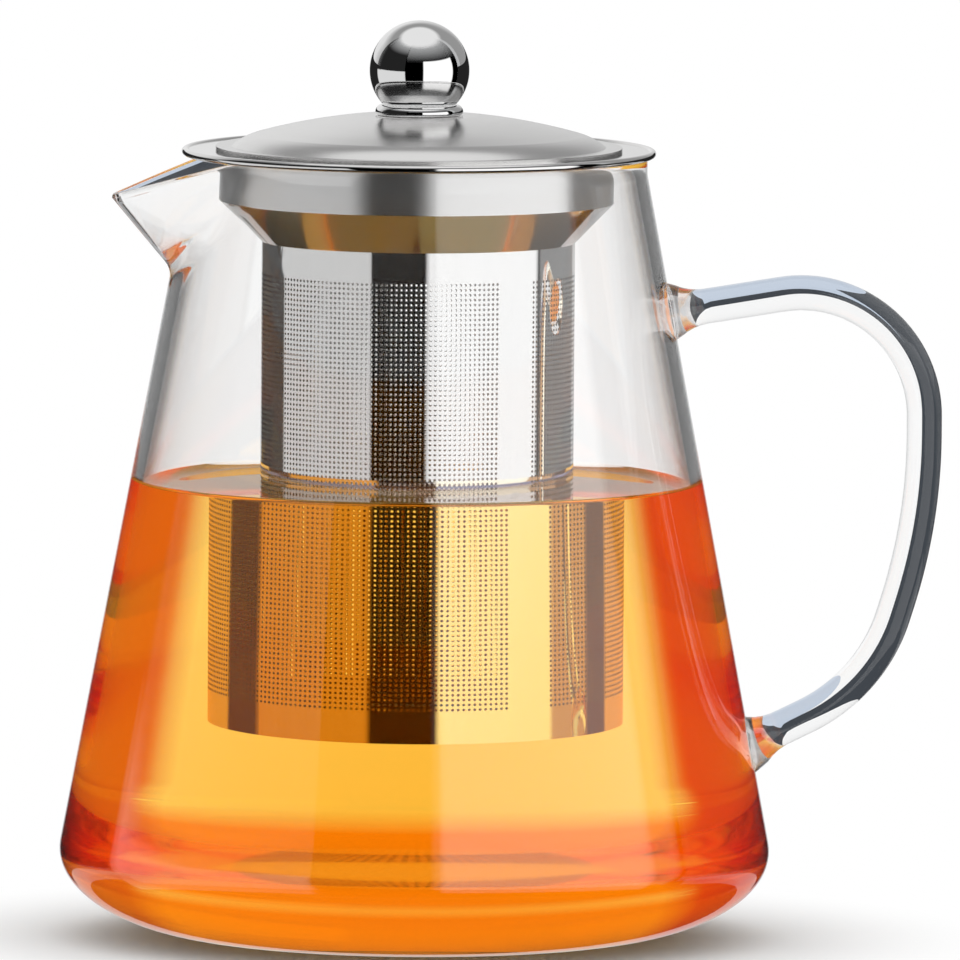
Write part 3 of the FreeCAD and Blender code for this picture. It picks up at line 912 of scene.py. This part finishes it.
class TEAPOT_OT_studio(bpy.types.Operator):
    """Set the floor, the light and the camera"""

    bl_idname = "teapot.studio"
    bl_label = "Studio"

    def execute(self, context):
        scene = context.scene
        settings = scene.teapot_studio
        scene.view_settings.view_transform = "Standard"
        scene.cycles.max_bounces = BOUNCES
        scene.cycles.transmission_bounces = BOUNCES
        scene.cycles.glossy_bounces = BOUNCES
        scene.cycles.transparent_max_bounces = CLEAR_LAYERS
        self.set_world(scene, settings)
        self.light_steel(settings)
        self.light_sides(settings)
        self.light_steel_in_tea()
        self.light_tea()
        self.light_handle(settings.slate)
        self.set_floor(settings)
        self.set_camera(scene)
        return {"FINISHED"}

    def set_world(self, scene, settings):
        """White all round, and a dimmer tent where steel mirrors it."""
        world = bpy.data.worlds.new("white_studio")
        scene.world = world
        world.use_nodes = True
        tree = world.node_tree
        tree.nodes.clear()
        output = tree.nodes.new("ShaderNodeOutputWorld")
        white = tree.nodes.new("ShaderNodeBackground")
        white.inputs["Color"].default_value = (*WHITE, 1.0)
        tent = tree.nodes.new("ShaderNodeBackground")
        tent.inputs["Color"].default_value = (*TENT_WHITE, 1.0)
        tent.inputs["Strength"].default_value = settings.tent
        mirrored = sight(tree, "mirror")
        lay_over(tree, mirrored, white.outputs["Background"], tent.outputs["Background"], output)

    def light_steel(self, settings):
        """Soft boxes, dark cards and flags that lid, knob, collar and dry sleeve mirror."""
        card(
            "left_panel", "mirror", turn=(-115, -33), rise=(-35, 4), distance=0.9,
            brightness=settings.left, soft=(2, 0, 1),
        )
        card(
            "right_panel", "inside", turn=(5, 98), rise=(-30, 28), distance=0.9,
            brightness=settings.right, soft=(3, 0, 0),
        )
        card(
            "right_panel_outside", "outside", turn=(8, 84), rise=(-30, 28), distance=0.9,
            brightness=settings.right, soft=(2, 2, 2),
        )
        card(
            "front_dark", "mirror", turn=(-34, 100), rise=(-50, 66), distance=1.2,
            brightness=0.0, soft=(0, 0, 40),
        )
        card(
            "front_dark_left", "outside", turn=(-115, -32), rise=(3, 62), distance=1.2,
            brightness=0.02, soft=(0, 0, 24),
        )
        card(
            "ceiling", "outside", turn=(-180, 180), rise=(54, 90), distance=1.25,
            brightness=0.95, soft=(0, 8, 0),
        )
        card(
            "lid_panel", "outside", turn=(150, 258), rise=(2, 44), distance=1.2,
            brightness=0.88, soft=(36, 0, 16),
        )
        card("lid_shade", "outside", turn=(110, 250), rise=(2, 70), distance=1.3, brightness=0.36)
        card("floor_shade", "mirror", turn=(-180, 180), rise=(-90, -24), distance=1.3, brightness=0.03)
        card(
            "left_flag", "inside", turn=(-165, -113), rise=(-16, 22), distance=1.2,
            brightness=0.08, soft=(3, 0, 0),
        )
        card(
            "right_flag", "inside", turn=(96, 157), rise=(-16, 22), distance=1.2,
            brightness=0.25, soft=(3, 0, 0),
        )

    def light_sides(self, settings):
        """Flags and warm cards behind the pot, the same on both sides but for their colour in the tea."""
        for side, sign, gold in (("left", -1, settings.gold), ("right", 1, settings.amber)):
            card(
                f"outer_flag_{side}", "outside", turn=(sign * 100, sign * 168), rise=(-16, 8),
                distance=1.1, brightness=0.02,
            )
            card(
                f"edge_flag_{side}", "pot", turn=(sign * 118, sign * 169), rise=(-15, 15),
                distance=1.2, brightness=0.06, colour=settings.slate, soft=(8, 2, 2),
            )
            card(
                f"gold_card_{side}", "tea", turn=(sign * 100, sign * 156), rise=(-75, 60),
                distance=1.5, brightness=0.85, colour=gold, soft=(8, 0, 0),
            )
            card(
                f"gold_edge_{side}", "steel in tea", turn=(sign * 135, sign * 180), rise=STEEL_RISE,
                distance=1.3, brightness=1.1, colour=HONEY,
            )

    def light_steel_in_tea(self):
        """What the sleeve mirrors through the tea, and what the funnel mirrors from below."""
        card(
            "left_gold", "steel in tea", turn=(-115, -28), rise=STEEL_RISE, distance=0.9,
            brightness=1.0, colour=DEEP_GOLD, soft=(4, 0, 0),
        )
        card(
            "right_gold", "steel in tea", turn=(12, 95), rise=STEEL_RISE, distance=0.9,
            brightness=1.6, colour=PALE_GOLD, soft=(3, 0, 0),
        )
        card(
            "middle_gold", "steel in tea", turn=(86, 128), rise=STEEL_RISE, distance=0.95,
            brightness=0.8, colour=ROSE_GOLD, soft=(4, 0, 0),
        )
        card(
            "front_dark_tea", "steel in tea", turn=(-36, 90), rise=(-42, 60), distance=1.25,
            brightness=0.0,
        )
        for name, turn in (("left_brown", (-148, -105)), ("right_brown", (115, 151))):
            card(
                name, "steel in tea", turn=turn, rise=STEEL_RISE, distance=1.2,
                brightness=0.12, colour=BROWN, soft=(4, 0, 0),
            )
        for name, turn, brightness, colour in (
            ("shade_left", (-180, -34), 0.24, LILAC),
            ("shade_middle", (-34, 16), 0.05, RUST),
            ("shade_right", (16, 180), 0.33, BLUE),
        ):
            card(name, "funnel", turn, FUNNEL_RISE, distance=1.7, brightness=brightness, colour=colour)

    def light_tea(self):
        """The bright panel seen through the tea, and the warm light in the pot's base and far edges."""
        card(
            "back_panel", "tea", turn=(149, 211), rise=(-50, 2), distance=1.5,
            brightness=1.17, soft=(3, 0, 9),
        )
        card(
            "base_glow", "tea", turn=(140, 220), rise=(-60, 35), distance=1.6,
            brightness=1.12, colour=EMBER,
        )
        card(
            "base_warm", "base", turn=(-180, 180), rise=(-90, 90), distance=2.0,
            brightness=1.15, colour=APRICOT,
        )

    def light_handle(self, slate):
        """Dark and grey cards that draw the handle's edges."""
        for name, turn, rise, rise_end, distance, brightness in (
            ("handle_flag", (-188, -135), (-7, -4), (-75, 36), 1.3, 0.08),
            ("handle_flag_side", (-135, -108), (-75, 36), (-75, 50), 1.3, 0.08),
            ("handle_haze", (180, 130), (-80, -7), (-80, -45), 1.25, 0.75),
            ("handle_haze_left", (-180, -120), (-85, -7), None, 1.4, 0.75),
            ("handle_line", (72, 112), (-40, 50), None, 1.35, 0.1),
            ("handle_line_top", (-180, 180), (58, 90), None, 1.35, 0.1),
        ):
            card(name, "handle", turn, rise, distance, brightness, slate, rise_end)

    def set_floor(self, settings):
        """A pale floor that holds the pot's shadow and fades to white round it."""
        size = FLOOR_REACH
        corners = [(-size, -size, 0.0), (size, -size, 0.0), (size, size, 0.0), (-size, size, 0.0)]
        floor = point_set(corners, [(0, 1, 2, 3)], "floor")
        material, tree, shader = new_material("pale_floor")
        shader.inputs["Base Color"].default_value = (*settings.floor, 1.0)
        shader.inputs["Roughness"].default_value = 0.7
        shader.inputs["Specular IOR Level"].default_value = 0.0
        white = tree.nodes.new("ShaderNodeEmission")
        where = tree.nodes.new("ShaderNodeTexCoord")
        far = tree.nodes.new("ShaderNodeVectorMath")
        far.operation = "LENGTH"
        tree.links.new(where.outputs["Object"], far.inputs[0])
        fade = tree.nodes.new("ShaderNodeMapRange")
        fade.interpolation_type = "SMOOTHSTEP"
        fade.inputs["From Min"].default_value = SHADE_FROM * MM
        fade.inputs["From Max"].default_value = SHADE_TO * MM
        tree.links.new(far.outputs["Value"], fade.inputs["Value"])
        output = next(n for n in tree.nodes if n.type == "OUTPUT_MATERIAL")
        lay_over(tree, fade.outputs["Result"], shader.outputs["BSDF"], white.outputs["Emission"], output)
        floor.data.materials.append(material)
        floor.visible_glossy = False
        floor.visible_transmission = False

    def set_camera(self, scene):
        """A long lens at the photograph's viewing angle and framing."""
        rise = math.radians(CAMERA_RISE)
        lens = bpy.data.cameras.new("camera")
        lens.sensor_width = SENSOR
        lens.lens = SENSOR * CAMERA_DISTANCE / (FRAME_PIXELS * PIXEL * MM)
        lens.clip_end = CLIP_END
        camera = bpy.data.objects.new("camera", lens)
        scene.collection.objects.link(camera)
        back = Vector((0.0, -math.cos(rise), math.sin(rise)))
        aim_z = AIM_HEIGHT * MM + AIM_UP * PIXEL * MM / math.cos(rise)
        place = Matrix.Translation(Vector((AIM_RIGHT * PIXEL * MM, 0.0, aim_z)) + back * CAMERA_DISTANCE)
        turn = (-back).to_track_quat("-Z", "Y").to_matrix().to_4x4()
        camera.matrix_world = place @ turn @ Matrix.Rotation(math.radians(CAMERA_ROLL), 4, "Z")
        scene.camera = camera


# Panel and registration


class TEAPOT_PT_panel(bpy.types.Panel):
    """Lists the settings and the steps"""

    bl_label = "Glass Teapot"
    bl_idname = "TEAPOT_PT_panel"
    bl_space_type = "VIEW_3D"
    bl_region_type = "UI"
    bl_category = "Teapot"

    def draw(self, context):
        """One box for each step, with its settings."""
        for settings, operator in STEPS:
            box = self.layout.box()
            box.operator(operator.bl_idname)
            group = getattr(context.scene, settings)
            for name in group.bl_rna.properties.keys():
                if name not in ("rna_type", "name"):
                    box.prop(group, name)


GROUPS = {
    "teapot_glass": GlassSettings,
    "teapot_tea": TeaSettings,
    "teapot_sleeve": SleeveSettings,
    "teapot_steel": SteelSettings,
    "teapot_studio": StudioSettings,
}
STEPS = (
    ("teapot_glass", TEAPOT_OT_glass),
    ("teapot_tea", TEAPOT_OT_tea),
    ("teapot_sleeve", TEAPOT_OT_infuser),
    ("teapot_steel", TEAPOT_OT_lid),
    ("teapot_studio", TEAPOT_OT_studio),
)
CLASSES = (*GROUPS.values(), *(operator for _, operator in STEPS), TEAPOT_PT_panel)


def register():
    """Adds the classes and hangs the settings on the scene."""
    for cls in CLASSES:
        bpy.utils.register_class(cls)
    for name, group in GROUPS.items():
        setattr(bpy.types.Scene, name, PointerProperty(type=group))


def unregister():
    """Takes the settings and the classes away again."""
    for name in GROUPS:
        delattr(bpy.types.Scene, name)
    for cls in reversed(CLASSES):
        bpy.utils.unregister_class(cls)


def main():
    """Makes the pieces and the studio in order."""
    register()
    bpy.ops.teapot.glass()
    bpy.ops.teapot.tea()
    bpy.ops.teapot.infuser()
    bpy.ops.teapot.lid()
    bpy.ops.teapot.studio()
    bpy.context.view_layer.update()


if __name__ == "__main__":
    main()
